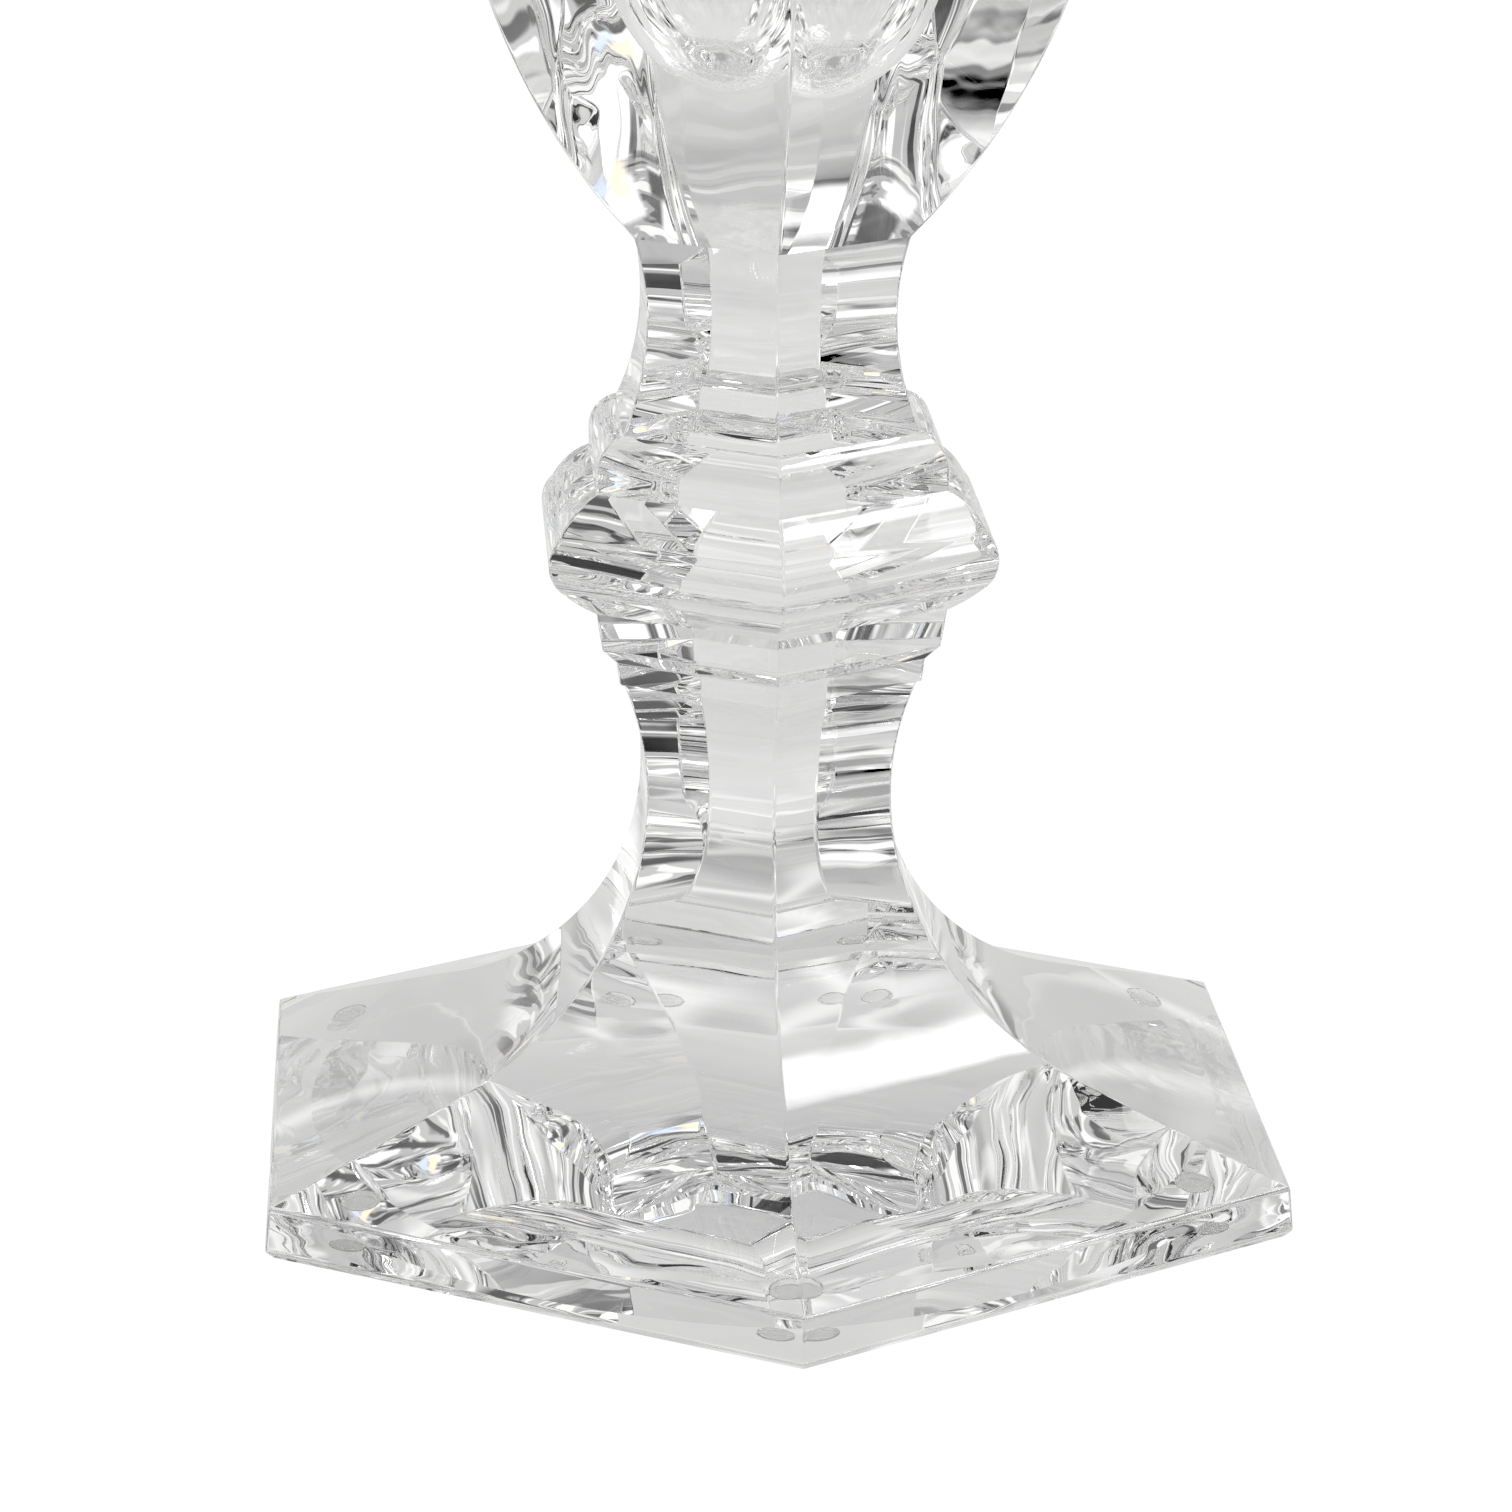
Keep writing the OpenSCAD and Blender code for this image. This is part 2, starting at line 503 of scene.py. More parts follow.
@dataclass(frozen=True)
class Room:
    """The studio round the object: a pale tent with folds in its cloth, and panels on its walls.

    The tent is palest behind the object, and darker overhead and towards the front. Its folds begin
    at the sides. Each pair is a soft step, from the value where it begins to the value where it is full.
    """

    name: str = "studio"
    horizon: Triple = (0.7, 0.7, 0.695)
    top: Triple = (0.45, 0.45, 0.45)
    height_share: float = 0.7
    front_share: float = 0.6
    front: Pair = (-0.35, 0.45)
    cloud_scale: float = 2.5
    cloud_share: float = 0.4
    fold_shape: Triple = (1.0, 1.0, 5.0)
    fold_scale: float = 2.6
    fold_detail: float = 1.5
    folded: Pair = (0.5, 0.72)
    bright_step: Pair = (0.56, 0.6)
    bright_fold: Triple = (1.05, 1.05, 1.04)
    dark_step: Pair = (0.455, 0.405)
    dark_fold: Triple = (0.11, 0.11, 0.11)
    panels: tuple[Panel, ...] = ()

    def tent(self, recipe: Recipe, where: Wire) -> Wire:
        """Return the colour of the tent's cloth.

        Args:
            recipe: the room's node tree.
            where: the direction looked in.

        Returns:
            The colour.
        """
        height = recipe.size(recipe.dot(where, Vector((0.0, 0.0, 1.0))))
        toward = recipe.dot(where, Vector((0.0, -1.0, 0.0)))
        aside = recipe.size(recipe.dot(where, Vector((1.0, 0.0, 0.0))))
        cloud = (recipe.noise(where, self.cloud_scale) - 0.5) * self.cloud_share
        drop = height * self.height_share + recipe.fade(toward, *self.front) * self.front_share + cloud
        light = recipe.mix(drop, self.horizon, self.top)
        folds = recipe.noise(recipe.stretched(where, self.fold_shape), self.fold_scale, self.fold_detail)
        folded = recipe.fade(aside + recipe.limit(toward, 0.0), *self.folded)
        light = recipe.mix(recipe.fade(folds, *self.bright_step) * folded, light, self.bright_fold)
        return recipe.mix(recipe.fade(folds, *self.dark_step) * folded, light, self.dark_fold)

    def build(self) -> None:
        """Make the world: white seen directly, the tent and its panels through the glass."""
        world = bpy.data.worlds.new(self.name)
        bpy.context.scene.world = world
        recipe = Recipe(world)
        where = recipe.wire("ShaderNodeTexCoord", {}, {}, "Generated")
        light = self.tent(recipe, where)
        for panel in self.panels:
            light = recipe.mix(panel.mask(recipe, where), light, panel.tone)
        direct = recipe.wire("ShaderNodeLightPath", {}, {}, "Is Camera Ray")
        light = recipe.mix(direct, light, WHITE)
        recipe.close(recipe.node("ShaderNodeBackground", {}, {"Color": light, "Strength": 1.0}),
                     "ShaderNodeOutputWorld")


# ---- rings and sides


class Section(Enum):
    """Shape of a level cut through a piece."""

    HEXAGON = "hexagon"
    ROUND = "round"


@dataclass(frozen=True)
class Ring:
    """One level of a piece.

    size is half the width across the flats, or the radius of a round ring, and 0 is a point on the
    axis. joint marks the strip of faces that ends at this ring as part of a hot joint.
    """

    size: float
    height: float
    section: Section = Section.HEXAGON
    sharp: bool = False
    joint: bool = False


@dataclass(frozen=True)
class Corner:
    """A point of an outline, rounded off with a radius."""

    size: float
    height: float
    radius: float = 0.0


def arc(size: float, height: float, radius: float, start: float, end: float,
        steps: int = 24) -> list[Corner]:
    """Return points along an arc of an outline.

    Args:
        size: the centre's distance from the axis.
        height: the centre's height.
        radius: the arc's radius.
        start: first angle in degrees, counted from outwards towards up.
        end: last angle.
        steps: number of steps.

    Returns:
        The points, both ends included.
    """
    angles = [math.radians(start + (end - start) * i / steps) for i in range(steps + 1)]
    return [Corner(size + radius * math.cos(a), height + radius * math.sin(a)) for a in angles]


def softened(corners: Sequence[Corner], steps: int = 4, support: float = 0.4) -> list[Pair]:
    """Round off each corner that has a radius, with a supporting point at each end of the rounding.

    Args:
        corners: the outline.
        steps: faces across each rounding.
        support: how far outside it the supporting points are, as a share of its radius.

    Returns:
        The size and height of each point.
    """
    points: list[Pair] = []
    last = len(corners) - 1
    for i, corner in enumerate(corners):
        here = Vector((corner.size, corner.height))
        if corner.radius <= 0 or i in (0, last):
            points.append(tuple(here))
            continue
        back = (Vector((corners[i - 1].size, corners[i - 1].height)) - here).normalized()
        ahead = (Vector((corners[i + 1].size, corners[i + 1].height)) - here).normalized()
        half = back.angle(ahead) / 2
        reach = corner.radius / math.tan(half)
        centre = here + (back + ahead).normalized() * corner.radius / math.sin(half)
        first, final = here + back * reach - centre, here + ahead * reach - centre
        turn = first.angle_signed(final)
        points.append(tuple(here + back * (reach + support * corner.radius)))
        for k in range(steps + 1):
            spoke = first.copy()
            spoke.rotate(Matrix.Rotation(-turn * k / steps, 2))
            points.append(tuple(centre + spoke))
        points.append(tuple(here + ahead * (reach + support * corner.radius)))
    return points


def crowned(start: Corner, end: Corner, rise: float, steps: int = 8) -> list[Corner]:
    """Return points along a face that hand polishing has left slightly crowned.

    Args:
        start: the face's lower end.
        end: its upper end.
        rise: how far its middle stands proud.
        steps: number of steps.

    Returns:
        The points between the ends.
    """
    run = Vector((end.size - start.size, end.height - start.height))
    out = Vector((run.y, -run.x)).normalized() * rise
    shares = [i / steps for i in range(1, steps)]
    return [Corner(start.size + run.x * t + out.x * 4 * t * (1 - t),
                   start.height + run.y * t + out.y * 4 * t * (1 - t)) for t in shares]


def rings(corners: Sequence[Corner], section: Section = Section.HEXAGON) -> list[Ring]:
    """Turn an outline into rings, with its corners rounded off."""
    return [Ring(size, height, section) for size, height in softened(corners)]


@dataclass(frozen=True)
class Side:
    """Places the points across one of the six sides, from one ridge to the next.

    arris is the radius of the rounding along each ridge, and arris_share is the most that it takes of
    a small ring. On a round ring the columns of the flat reach flat_share of the way to the ridge, and
    those of the rounding share what is left from corner_share on.
    """

    arris: float = 0.4 * MM
    arris_share: float = 0.3
    support: float = 0.15 * MM
    flat_share: float = 0.985
    corner_share: float = 0.99
    across: int = 12
    turns: int = 3

    def point(self, ring: Ring, column: int) -> Vector:
        """Return a point of a ring.

        Args:
            ring: the level.
            column: the point's number across the side.

        Returns:
            Its place.
        """
        flat_last = self.turns + 1 + self.across
        if column <= self.turns:
            turn, along, side = (self.turns - column) / self.turns, 1.0, -1
        elif column > flat_last:
            turn, along, side = (column - flat_last - 1) / self.turns, 1.0, 1
        else:
            turn, along, side = None, 2 * (column - self.turns - 1) / self.across - 1, 1
        if ring.section is Section.ROUND:
            share = self.flat_share * along
            if turn is not None:
                share = self.corner_share + (1 - self.corner_share) * turn
            angle = side * math.atan(math.tan(HALF_SIDE) * share)
            return Vector((ring.size * math.cos(angle), ring.size * math.sin(angle), ring.height))
        arris = min(self.arris, self.arris_share * ring.size)
        middle = ring.size - arris
        half = middle * math.tan(HALF_SIDE)
        if turn is None:
            return Vector((ring.size, along * (half - self.support), ring.height))
        angle = turn * HALF_SIDE
        beside = half + arris * math.sin(angle)
        return Vector((middle + arris * math.cos(angle), side * beside, ring.height))

    @property
    def columns(self) -> int:
        """Number of points across the side."""
        return self.across + 1 + 2 * (self.turns + 1)


def side_mesh(name: str, levels: Sequence[Ring], side: Side) -> bpy.types.Mesh:
    """Draw one side of a piece, through all its rings.

    Args:
        name: the mesh's name.
        levels: the rings, from the underside, round the outside, to the top or down the bore.
        side: how the side's points are placed.

    Returns:
        The mesh, with its joint faces and sharp edges marked.
    """
    mesh = bpy.data.meshes.new(name)
    bm = bmesh.new()
    joint = bm.faces.layers.bool.new("joint")
    rows = []
    for level in levels:
        if level.size == 0:
            vert = bm.verts.new((0.0, 0.0, level.height))
            rows.append([vert] * side.columns)
        else:
            rows.append([bm.verts.new(side.point(level, c)) for c in range(side.columns)])
    for level, low, high in zip(levels[1:], rows, rows[1:]):
        for c in range(side.columns - 1):
            ring = [low[c], low[c + 1], high[c + 1], high[c]]
            ring = [v for k, v in enumerate(ring) if v is not ring[k - 1]]
            face = bm.faces.new(ring)
            face.smooth = True
            face[joint] = level.joint
    for level, row in zip(levels, rows):
        if level.sharp:
            for c in range(side.columns - 1):
                bm.edges.get((row[c], row[c + 1])).smooth = False
    bm.to_mesh(mesh)
    bm.free()
    return mesh


# ---- node trees


class Tree(Nodes):
    """A Geometry Nodes tree with a geometry input, more named inputs and a geometry output."""

    def __init__(self, name: str, inputs: Sequence[tuple[str, str]]) -> None:
        """Start the tree.

        Args:
            name: the tree's name.
            inputs: the name and socket type of each further input.
        """
        super().__init__(bpy.data.node_groups.new(name, "GeometryNodeTree"))
        face = self.tree.interface
        face.new_socket("Geometry", in_out="INPUT", socket_type="NodeSocketGeometry")
        for label, kind in inputs:
            face.new_socket(label, in_out="INPUT", socket_type=kind)
        face.new_socket("Geometry", in_out="OUTPUT", socket_type="NodeSocketGeometry")
        self.start = self.tree.nodes.new("NodeGroupInput")
        self.end = self.tree.nodes.new("NodeGroupOutput")

    def finish(self, geometry: bpy.types.NodeSocket) -> "Tree":
        """Link the result to the output and return the tree."""
        self.tree.links.new(geometry, self.end.inputs[0])
        return self

    def identifier(self, label: str) -> str:
        """Return the identifier of a named input."""
        return next(s.identifier for s in self.tree.interface.items_tree
                    if s.in_out == "INPUT" and s.name == label)


def six_sides_tree() -> Tree:
    """Build the tree that turns one side into a closed six-sided piece of glass.

    Returns:
        The tree.
    """
    tree = Tree("six_alike_sides", [("Sides", "NodeSocketInt"), ("Weld", "NodeSocketFloat"),
                                    ("Glass", "NodeSocketMaterial"), ("Joint", "NodeSocketMaterial")])
    start = tree.start.outputs
    points = tree.node("GeometryNodePoints", {}, {"Count": start["Sides"]})
    index = tree.node("GeometryNodeInputIndex", {}, {})
    step = tree.node("ShaderNodeMath", {"operation": "DIVIDE"}, {0: math.tau, 1: start["Sides"]})
    angle = tree.node("ShaderNodeMath", {"operation": "MULTIPLY"},
                      {0: index.outputs[0], 1: step.outputs[0]})
    turn = tree.node("ShaderNodeCombineXYZ", {}, {"Z": angle.outputs[0]})
    spin = tree.node("FunctionNodeEulerToRotation", {}, {0: turn.outputs[0]})
    copies = tree.node("GeometryNodeInstanceOnPoints", {}, {
        "Points": points.outputs[0], "Instance": start["Geometry"], "Rotation": spin.outputs[0]})
    real = tree.node("GeometryNodeRealizeInstances", {}, {"Geometry": copies.outputs[0]})
    welded = tree.node("GeometryNodeMergeByDistance", {},
                       {"Geometry": real.outputs[0], "Distance": start["Weld"]})
    glass = tree.node("GeometryNodeSetMaterial", {},
                      {"Geometry": welded.outputs[0], "Material": start["Glass"]})
    marked = tree.node("GeometryNodeInputNamedAttribute", {"data_type": "BOOLEAN"}, {"Name": "joint"})
    joined = tree.node("GeometryNodeSetMaterial", {}, {
        "Geometry": glass.outputs[0], "Selection": marked.outputs[0], "Material": start["Joint"]})
    return tree.finish(joined.outputs[0])


def corners_tree() -> Tree:
    """Build the tree that puts a copy of a small piece inside each corner of the foot.

    Returns:
        The tree.
    """
    tree = Tree("one_at_each_corner", [("Corners", "NodeSocketInt"), ("Reach", "NodeSocketFloat"),
                                       ("Finish", "NodeSocketMaterial")])
    start = tree.start.outputs
    ring = tree.node("GeometryNodeMeshCircle", {},
                     {"Vertices": start["Corners"], "Radius": start["Reach"]})
    turned = tree.node("GeometryNodeTransform", {},
                       {"Geometry": ring.outputs[0], "Rotation": (0.0, 0.0, HALF_SIDE)})
    copies = tree.node("GeometryNodeInstanceOnPoints", {},
                       {"Points": turned.outputs[0], "Instance": start["Geometry"]})
    real = tree.node("GeometryNodeRealizeInstances", {}, {"Geometry": copies.outputs[0]})
    dressed = tree.node("GeometryNodeSetMaterial", {},
                        {"Geometry": real.outputs[0], "Material": start["Finish"]})
    return tree.finish(dressed.outputs[0])


def grown(name: str, seed: bpy.types.Mesh, tree: Tree, inputs: dict[str, Any]) -> bpy.types.Object:
    """Run a node tree on a mesh and keep the result as a plain mesh.

    Args:
        name: the new piece's name.
        seed: the mesh that goes in.
        tree: the tree.
        inputs: its named inputs.

    Returns:
        The new object, at the origin.
    """
    source = bpy.data.objects.new(name + "_seed", seed)
    bpy.context.scene.collection.objects.link(source)
    modifier = source.modifiers.new(tree.tree.name, "NODES")
    modifier.node_group = tree.tree
    for label, value in inputs.items():
        modifier[tree.identifier(label)] = value
    bpy.context.view_layer.update()
    evaluated = source.evaluated_get(bpy.context.evaluated_depsgraph_get())
    mesh = bpy.data.meshes.new_from_object(evaluated)
    mesh.name = name
    source.modifiers.clear()
    bpy.data.objects.remove(source)
    piece = bpy.data.objects.new(name, mesh)
    bpy.context.scene.collection.objects.link(piece)
    return piece


# ---- pieces of glass


@dataclass
class Workshop:
    """The finishes and node trees that all the pieces share."""

    crystal: bpy.types.Material
    joint: bpy.types.Material
    pad: bpy.types.Material
    six_sides: Tree
    each_corner: Tree

    @classmethod
    def opened(cls) -> "Workshop":
        """Make every finish and tree once."""
        return cls(Crystal().material(), HotJoint().material(), ClearPad().material(),
                   six_sides_tree(), corners_tree())


@dataclass
class GlassPiece:
    """A six-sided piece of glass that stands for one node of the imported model.

    base_joint and top_joint are half the width across the flats of the contact with the glass below
    and above. A contact of 0 means that there is no glass there.
    """

    node: str
    base_joint: float = 0.0
    top_joint: float = 0.0
    arris: float = 0.4 * MM

    def __post_init__(self) -> None:
        """Read the piece's height range and width from the frame."""
        low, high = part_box(self.node)
        self.base, self.top, self.reach = low.z, high.z, high.x

    def outline(self) -> list[Corner]:
        """Return the outside of the piece, lowest point first."""
        raise NotImplementedError

    def levels(self) -> list[Ring]:
        """Stack the rings from the middle of the base, up the outside, to the middle of the top.

        Returns:
            The rings.
        """
        wall = rings(self.outline())
        first, last = wall[0], wall[-1]
        wall[0] = Ring(first.size, first.height, sharp=True, joint=self.base_joint >= first.size - SAME_SIZE)
        wall[-1] = Ring(last.size, last.height, sharp=True)
        stack = [Ring(0.0, self.base)]
        if 0 < self.base_joint < first.size - SAME_SIZE:
            stack.append(Ring(self.base_joint, self.base, joint=True))
        stack += wall
        if 0 < self.top_joint < last.size - SAME_SIZE:
            stack.append(Ring(self.top_joint, self.top))
        stack.append(Ring(0.0, self.top, joint=self.top_joint > 0))
        return stack

    def mesh(self) -> bpy.types.Mesh:
        """Draw one side of the piece."""
        return side_mesh(self.node + "_side", self.levels(), Side(arris=self.arris))

    def dress(self, shop: Workshop) -> bpy.types.Object:
        """Close the piece round its axis, give it its finish and put it in place of its node.

        Args:
            shop: the shared finishes and trees.

        Returns:
            The finished piece.
        """
        piece = grown(self.node + "_glass", self.mesh(), shop.six_sides,
                      {"Sides": SIDES, "Weld": WELD, "Glass": shop.crystal, "Joint": shop.joint})
        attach(piece, ROOT)
        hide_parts(self.node)
        log.info("%s: %d faces", piece.name, len(piece.data.polygons))
        return piece


@dataclass
class Foot(GlassPiece):
    """Spreading foot: an upright ground edge, sloping faces and a hollow sweep up to the stem."""

    edge_height: float = 5.4 * MM
    draft: float = 0.4 * MM
    bevel: float = 0.8 * MM
    slope: float = 20.0
    sweep: float = 30.0 * MM
    hollow: float = 46.0 * MM
    hollow_depth: float = 2.0 * MM
    ground_ease: float = 0.6 * MM
    edge_ease: float = 0.45 * MM
    sweep_steps: int = 32

    def outline(self) -> list[Corner]:
        """Draw the outside of the foot, lowest point first.

        Returns:
            The outline.
        """
        centre = self.top_joint + self.sweep
        ground = [
            Corner(self.reach - self.bevel, self.base),
            Corner(self.reach, self.base + self.bevel, self.ground_ease),
            Corner(self.reach - self.draft, self.base + self.edge_height, self.edge_ease),
        ]
        return ground + arc(centre, self.top, self.sweep, 270 - self.slope, 180, self.sweep_steps)

    def levels(self) -> list[Ring]:
        """Stack the rings out over the polished hollow of the underside, then up the outside.

        Returns:
            The rings.
        """
        dome = (self.hollow ** 2 + self.hollow_depth ** 2) / (2 * self.hollow_depth)
        peak = self.base + self.hollow_depth
        spread = math.degrees(math.asin(self.hollow / dome))
        under = arc(0.0, peak - dome, dome, 90, 90 - spread)[1:]
        wall = super().levels()[1:]
        wall[0] = Ring(wall[0].size, wall[0].height, sharp=True)
        return ([Ring(0.0, peak)] + [Ring(c.size, c.height, Section.ROUND) for c in under[:-1]]
                + [Ring(under[-1].size, under[-1].height, Section.ROUND, sharp=True)] + wall)


@dataclass
class LowerStem(GlassPiece):
    """Waisted stem that spreads from the foot to the lower collar."""

    hollow: float = 34.0 * MM

    def outline(self) -> list[Corner]:
        """Draw the outside of the lower stem.

        Returns:
            The outline.
        """
        spread = math.degrees(math.asin((self.top - self.base) / self.hollow))
        return arc(self.base_joint + self.hollow, self.base, self.hollow, 180, 180 - spread)


@dataclass
class LowerCollar(GlassPiece):
    """Two stepped bands with a bevel between them."""

    quirk: float = 0.4 * MM
    lean: float = 0.3 * MM
    inset: float = 0.6 * MM
    lower_band: float = 0.3
    bevel: float = 0.2
    ease: float = 0.25 * MM

    def outline(self) -> list[Corner]:
        """Draw the outside of the lower collar.

        Returns:
            The outline.
        """
        height = self.top - self.base
        neck = self.base_joint + self.quirk
        step = self.base + self.lower_band * height
        return [
            Corner(neck, self.base),
            Corner(neck + self.lean, step, self.ease),
            Corner(self.reach - self.inset, step + self.bevel * height, self.ease),
            Corner(self.reach, self.top),
        ]


@dataclass
class Knop(GlassPiece):
    """Wide knop: two bevels that run into a rounded nose."""

    nose: float = 4.1 * MM
    lower_bevel: float = 38.0
    upper_bevel: float = 46.0
    crown: float = 0.12 * MM
    upper_crown: float = 0.42 * MM
    nose_steps: int = 20
    upper_steps: int = 12

    def outline(self) -> list[Corner]:
        """Draw the outside of the knop.

        Returns:
            The outline.
        """
        low, high = self.lower_bevel - 90, 90 - self.upper_bevel
        inner = self.reach - self.nose
        run = inner + self.nose * math.cos(math.radians(low)) - self.base_joint
        middle = (self.base + run * math.tan(math.radians(self.lower_bevel))
                  - self.nose * math.sin(math.radians(low)))
        first, last = Corner(self.base_joint, self.base), Corner(self.top_joint, self.top)
        nose = arc(inner, middle, self.nose, low, high, self.nose_steps)
        return ([first] + crowned(first, nose[0], self.crown) + nose
                + crowned(nose[-1], last, self.upper_crown, self.upper_steps) + [last])


@dataclass
class UpperCollar(GlassPiece):
    """Upright band under a rounded shoulder."""

    shoulder: float = 4.0 * MM
    shoulder_height: float = 3.7 * MM
    shoulder_steps: int = 14

    def outline(self) -> list[Corner]:
        """Draw the outside of the upper collar.

        Returns:
            The outline.
        """
        spread = math.degrees(math.asin(self.shoulder_height / self.shoulder))
        curve = arc(self.reach - self.shoulder, self.top - self.shoulder_height, self.shoulder, 0, spread,
                    self.shoulder_steps)
        return [Corner(self.reach, self.base)] + curve


@dataclass
class UpperStem(GlassPiece):
    """Waisted stem between the knop and the socket."""

    hollow: float = 29.0 * MM
    drop: float = 11.6 * MM

    def outline(self) -> list[Corner]:
        """Draw the outside of the upper stem.

        Returns:
            The outline.
        """
        waist = self.base + self.drop
        low = math.degrees(math.asin(self.drop / self.hollow))
        high = math.degrees(math.asin((self.top - waist) / self.hollow))
        lean = self.hollow * (1 - math.cos(math.radians(low)))
        return arc(self.reach - lean + self.hollow, waist, self.hollow, 180 + low, 180 - high)


@dataclass
class SocketCup(GlassPiece):
    """Tulip-shaped socket with a round-bottomed bore and a shallow drip dish."""

    tulip: float = 78.0 * MM
    bore: float = 11.5 * MM
    bore_depth: float = 28.0 * MM
    dish_depth: float = 3.0 * MM
    dish: float = 25.0 * MM
    lip: float = 1.0 * MM
    lip_support: float = 3.0 * MM
    dish_support: float = 1.5 * MM
    dish_ease: float = 0.6 * MM
    bore_ease: float = 0.8 * MM
    tulip_steps: int = 36
    bottom_steps: int = 20
    bottom_turn: float = 86.0

    def outline(self) -> list[Corner]:
        """Draw the outside of the socket, up to the lip.

        Returns:
            The outline.
        """
        spread = math.degrees(math.asin((self.top - self.base) / self.tulip))
        wall = arc(self.reach - self.tulip, self.top, self.tulip, -spread, 0, self.tulip_steps)
        return wall[:-2] + [Corner(self.reach, self.top, self.lip),
                            Corner(self.reach - self.lip_support, self.top)]

    def levels(self) -> list[Ring]:
        """Stack the rings up the outside, over the lip, and down the dish and the bore to its bottom.

        Returns:
            The rings.
        """
        wall = rings(self.outline())
        wall[0] = Ring(wall[0].size, wall[0].height, sharp=True, joint=True)
        dish_floor = self.top - self.dish_depth
        bottom = dish_floor - self.bore_depth
        well = [
            Corner(self.dish + self.dish_support, self.top),
            Corner(self.dish, self.top, self.dish_ease),
            Corner(self.bore, dish_floor, self.bore_ease),
        ] + arc(0.0, bottom + self.bore, self.bore, 0, -self.bottom_turn, self.bottom_steps)
        inside = rings(well, Section.ROUND)
        return [Ring(0.0, self.base)] + wall + inside + [Ring(0.0, bottom)]


@dataclass
class RestPads:
    """Six soft clear pads, one inside each corner of the foot."""

    node: str = "rest_pads"
    radius: float = 2.0 * MM
    bedding: float = 0.05 * MM
    edge_share: float = 0.6
    flat_share: float = 0.3
    segments: int = 32

    def mesh(self, thickness: float) -> bpy.types.Mesh:
        """Draw one pad at the origin, softly rounded at its lower edge.

        Args:
            thickness: the pad's thickness.

        Returns:
            The closed mesh.
        """
        outline = softened([Corner(self.flat_share * self.radius, 0.0),
                            Corner(self.radius, 0.0, self.edge_share * thickness),
                            Corner(self.radius, thickness + self.bedding)])
        mesh = bpy.data.meshes.new("rest_pad")
        bm = bmesh.new()
        rows = [[bm.verts.new((size * math.cos(math.tau * k / self.segments),
                               size * math.sin(math.tau * k / self.segments), height))
                 for k in range(self.segments)] for size, height in outline]
        for low, high in zip(rows, rows[1:]):
            for k in range(self.segments):
                face = bm.faces.new((low[k - 1], low[k], high[k], high[k - 1]))
                face.smooth = True
        bm.faces.new(reversed(rows[0]))
        bm.faces.new(rows[-1])
        bm.to_mesh(mesh)
        bm.free()
        return mesh

    def dress(self, shop: Workshop) -> bpy.types.Object:
        """Set a pad inside each corner and put them in place of their node.

        Args:
            shop: the shared finishes and trees.

        Returns:
            The finished pads, as one piece.
        """
        low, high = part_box(self.node)
        piece = grown("rest_pads_clear", self.mesh(high.z - low.z), shop.each_corner,
                      {"Corners": SIDES, "Reach": high.y - self.radius, "Finish": shop.pad})
        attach(piece, ROOT)
        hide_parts(self.node)
        log.info("%s: %d faces", piece.name, len(piece.data.polygons))
        return piece


@dataclass
class Candlestick:
    """The whole object, piece by piece from the foot up."""

    shop: Workshop
    waist_width: float = 29.0 * MM

    def build(self) -> None:
        """Make every piece, each sized from the frame and from the piece that it joins."""
        waist = self.waist_width / 2 * math.cos(HALF_SIDE)
        neck, collar, upper_neck = (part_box(node)[1].x
                                    for node in ("lower_stem", "lower_collar", "upper_stem"))
        ledge = min(UpperCollar("upper_collar").outline()[-1].size, upper_neck)
        cup_foot = UpperStem("upper_stem").outline()[-1].size
        pieces = [
            Foot("foot", top_joint=waist),
            LowerStem("lower_stem", waist, neck),
            LowerCollar("lower_collar", neck, collar),
            Knop("knop", collar, collar),
            UpperCollar("upper_collar", collar, ledge),
            UpperStem("upper_stem", ledge, cup_foot),
            SocketCup("socket_cup", cup_foot),
            RestPads(),
        ]
        for piece in pieces:
            piece.dress(self.shop)


# ---- studio


BLACK = (0.012, 0.012, 0.012)
DARK = (0.07, 0.07, 0.07)
DIM = (0.2, 0.2, 0.2)
BRIGHT = (1.25, 1.25, 1.25)
SOFT_BOX = (9.0, 9.0, 9.0)
ROOM_PANELS = (
    # bright cards, two of them tinted, with a soft box to the right and a grey card to the left
    Panel(-89, 27, 7, 4, BRIGHT),
    Panel(142, 32, 10, 10, BRIGHT),
    Panel(-147, 27, 9, 6, BRIGHT),
    Panel(141, 20, 5, 10, (1.3, 1.12, 0.82)),
    Panel(152, 14, 4, 9, (0.88, 1.0, 1.28)),
    Panel(70, 8, 5, 6, BRIGHT),
    Panel(-45, -8, 6, 9, BRIGHT),
    Panel(77, 56, 9, 3, SOFT_BOX, 1.5),
    Panel(100, 40, 9, 9, BRIGHT),
    Panel(-90, 47, 9, 9, (0.72, 0.72, 0.715)),
    # dark openings
    Panel(-136, 45, 15, 9, BLACK, 2.0),
    Panel(163, 35, 9, 8, DARK, 2.0),
    Panel(118, 2, 10, 12, DARK, 2.0),
    Panel(120, 4, 4, 9, BLACK, 2.0),
    Panel(114, 27, 5, 6, DARK, 2.0),
    Panel(81, 27, 5, 12, DARK),
    Panel(-100, 6, 5, 6, DIM),
    Panel(-165, 4, 8, 10, DIM),
)
# Shade under the foot and to both sides of it, and bright patches round it
THROWN_LIGHT = (
    Pool(-5 * MM, 64 * MM, 24 * MM, 0.52),
    Pool(-8 * MM, 2 * MM, 20 * MM, 0.4),
    Pool(-100 * MM, -22 * MM, 36 * MM, 0.14),
    Pool(270 * MM, -120 * MM, 45 * MM, 0.18),
    Pool(-108 * MM, -88 * MM, 34 * MM, 1.25),
    Pool(-60 * MM, 124 * MM, 27 * MM, 1.1),
    Pool(92 * MM, 32 * MM, 26 * MM, 1.25),
)


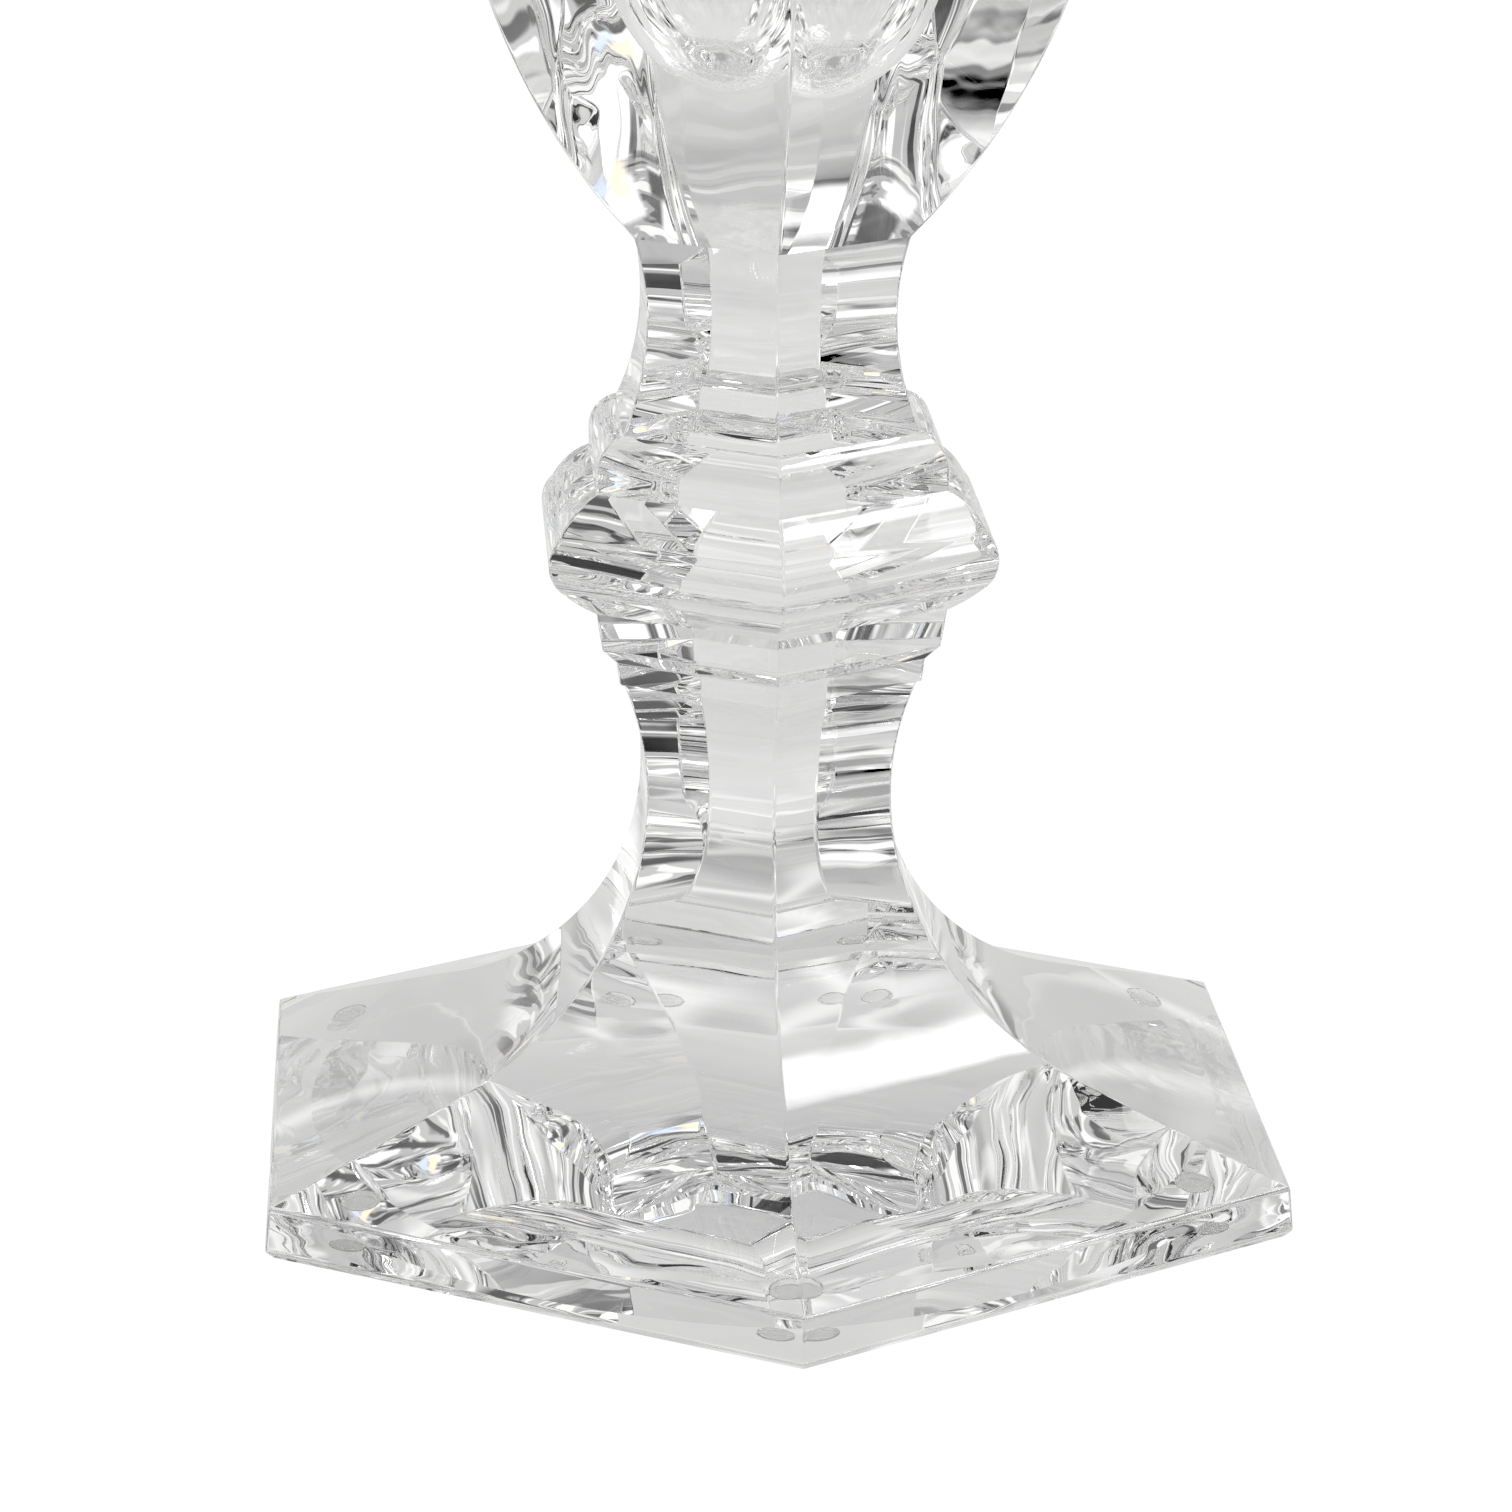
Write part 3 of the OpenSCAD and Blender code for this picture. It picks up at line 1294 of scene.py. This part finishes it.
@dataclass
class Studio:
    """Pale floor, the room that lights the object, and the camera. Angles are in degrees."""

    floor_size: float = 3.0
    floor_drop: float = 0.02 * MM
    camera_distance: float = 524.6 * MM
    camera_height: float = 213.9 * MM
    camera_turn: float = 3.95
    camera_tilt: float = 18.035
    camera_pan: float = -0.097
    camera_roll: float = 0.312
    lens: float = 126.6
    sensor: float = 36.0
    nearest: float = 0.01
    glass_bounces: int = 24
    gloss_bounces: int = 16
    joint_bounces: int = 48

    def floor(self) -> None:
        """Lay the pale floor just under the pads."""
        half = self.floor_size / 2
        corners = [(x * half, y * half, -self.floor_drop) for x, y in ((-1, -1), (1, -1), (1, 1), (-1, 1))]
        mesh = bpy.data.meshes.new("floor")
        mesh.from_pydata(corners, [], [(0, 1, 2, 3)])
        mesh.materials.append(Sweep(pools=THROWN_LIGHT).material())
        sheet = bpy.data.objects.new("floor", mesh)
        bpy.context.scene.collection.objects.link(sheet)

    def room(self) -> None:
        """Light the object from the room, with its soft boxes and its dark openings."""
        Room(panels=ROOM_PANELS).build()

    def camera(self) -> None:
        """Set the camera down in front of the object, a little to the left and above."""
        tilt, pan = math.radians(self.camera_tilt), math.radians(self.camera_pan)
        forward = Vector((math.sin(pan) * math.cos(tilt), math.cos(pan) * math.cos(tilt), -math.sin(tilt)))
        right = Vector((math.cos(pan), -math.sin(pan), 0.0))
        up = right.cross(forward)
        pose = Matrix((right, up, -forward)).transposed().to_4x4()
        pose.translation = (0.0, -self.camera_distance, self.camera_height)
        turn = Matrix.Rotation(-math.radians(self.camera_turn), 4, "Z")
        roll = Matrix.Rotation(math.radians(self.camera_roll), 4, "Z")
        data = bpy.data.cameras.new("camera")
        data.lens, data.sensor_width = self.lens, self.sensor
        data.clip_start = self.nearest
        camera = bpy.data.objects.new("camera", data)
        bpy.context.scene.collection.objects.link(camera)
        camera.matrix_world = turn @ pose @ roll
        bpy.context.scene.camera = camera

    def light_paths(self) -> None:
        """Let light pass through as many glass faces as it meets, and keep white white."""
        cycles = bpy.context.scene.cycles
        cycles.max_bounces = self.glass_bounces
        cycles.transmission_bounces = self.glass_bounces
        cycles.glossy_bounces = self.gloss_bounces
        cycles.transparent_max_bounces = self.joint_bounces
        cycles.blur_glossy = 0.0
        bpy.context.scene.view_settings.view_transform = "Standard"


def main() -> None:
    """Build the candlestick, then the studio round it."""
    studio = Studio()
    studio.camera()
    Candlestick(Workshop.opened()).build()
    studio.floor()
    studio.room()
    studio.light_paths()


if __name__ == "__main__":
    main()
